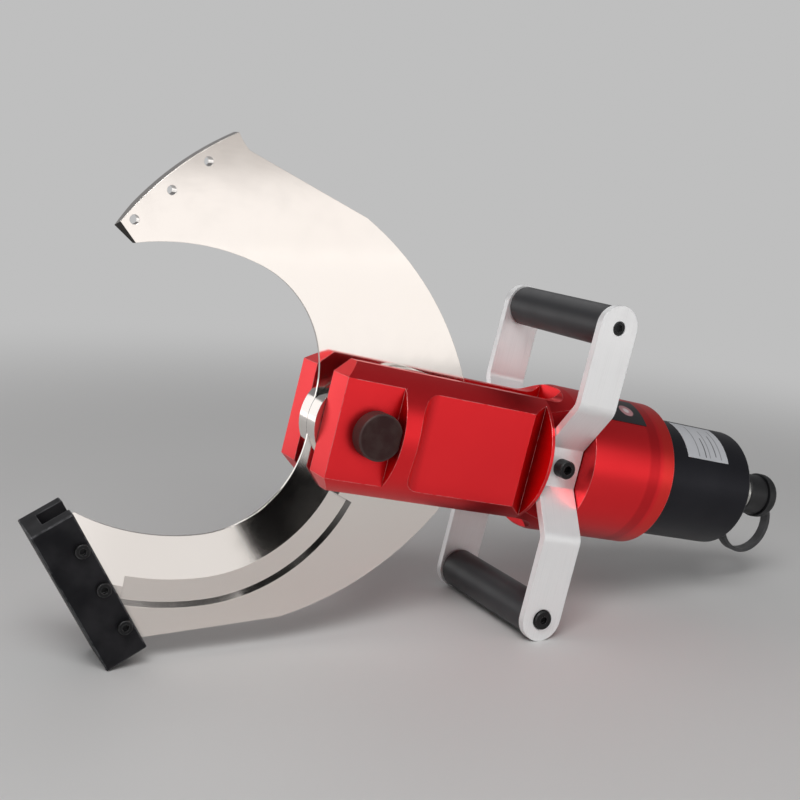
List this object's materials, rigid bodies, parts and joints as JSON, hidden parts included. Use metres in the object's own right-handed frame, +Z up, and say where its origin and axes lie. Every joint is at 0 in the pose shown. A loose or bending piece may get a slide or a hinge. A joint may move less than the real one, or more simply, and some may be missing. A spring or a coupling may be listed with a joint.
{
  "type": "hydraulic cable cutter head",
  "caption": "Remote hydraulic cutter head: twin crescent blades on one pin in a milled red yoke, cylinder behind, strap handle and capped oil coupler.",
  "frame": {"origin": "centre of the footprint, on the surface the tool stands on", "axes": "+X along the tool towards the hydraulic coupler, +Y along the blade pin, +Z up; the tool stands nose-up by the pitch of its two lower contact points"},
  "size_m": [0.5754, 0.1196, 0.3165],
  "materials": {
    "red_anodised_aluminium": "bright red anodised, milled and turned",
    "nickel_plated_steel": "mirror nickel plate",
    "black_oxide_steel": "black oxide, dull",
    "black_pin_steel": "black oxide, satin brown-black",
    "screw_steel": "black oxide",
    "black_anodised_aluminium": "black anodised, satin",
    "strap_aluminium": "bead-blasted, silver anodised",
    "grip_rubber": "smooth satin",
    "cap_rubber": "moulded",
    "zinc_steel": "turned",
    "ground_steel": "ground",
    "bronze": "sintered bronze",
    "spring_steel": "oiled spring wire",
    "seal_polymer": "polyurethane",
    "white_label": "printed film, blank",
    "dark_badge": "printed film, plain round emblem"
  },
  "bodies": {
    "housing": {"yoke": "red_anodised_aluminium", "main_pin": "black_pin_steel", "pin_keeper": "black_oxide_steel", "pin_keeper_screw": "screw_steel", "rod_guide_bush": "bronze", "return_spring": "spring_steel", "cylinder_barrel": "black_anodised_aluminium", "coupler_nipple": "zinc_steel", "coupler_washer": "zinc_steel", "coupler_poppet": "zinc_steel", "cap_tether": "cap_rubber", "left_handle_strap": "strap_aluminium", "right_handle_strap": "strap_aluminium", "upper_grip": "grip_rubber", "lower_grip": "grip_rubber", "upper_grip_tube": "zinc_steel", "lower_grip_tube": "zinc_steel", "grip_screws": "screw_steel", "handle_bolts": "screw_steel", "badge_plate": "dark_badge", "rating_plate": "white_label"},
    "upper_jaw": {"upper_blade": "nickel_plated_steel", "upper_blade_bush": "bronze"},
    "lower_jaw": {"lower_blade": "nickel_plated_steel", "lower_blade_bush": "bronze", "guide_block": "black_oxide_steel", "guide_block_screws": "screw_steel"},
    "piston_assembly": {"piston": "ground_steel", "piston_rod": "ground_steel", "piston_nut": "ground_steel", "piston_seal": "seal_polymer", "piston_wear_ring": "seal_polymer", "rod_fork": "ground_steel", "crosshead_pin": "ground_steel", "cam_rollers": "ground_steel"},
    "cap": {"dust_cap": "cap_rubber"}
  },
  "joints": [
    {"name": "piston_slide", "type": "slide", "parent": "housing", "child": "piston_assembly", "axis": [-0.9811, 0, 0.1935], "range_m": [0, 0.041], "stiffness_N_per_m": 900, "springref_m": -0.05, "deforming": ["return_spring"]},
    {"name": "upper_blade_hinge", "type": "hinge", "parent": "housing", "child": "upper_jaw", "pos_m": [-0.08464, 0, 0.14059], "axis": [0, -1, 0], "range_deg": [0, 54.01]},
    {"name": "lower_blade_hinge", "type": "hinge", "parent": "housing", "child": "lower_jaw", "pos_m": [-0.08464, 0, 0.14059], "axis": [0, 1, 0], "range_deg": [0, 54.01]},
    {"name": "dust_cap_pull", "type": "slide", "parent": "housing", "child": "cap", "axis": [0.9811, 0, -0.1935], "range_m": [0, 0.024], "deforming": ["cap_tether"]}
  ],
  "couplings": [
    {"joint": "upper_blade_hinge", "follows": "piston_slide", "rad_per_m": 22.987},
    {"joint": "lower_blade_hinge", "follows": "piston_slide", "rad_per_m": 22.987}
  ]
}
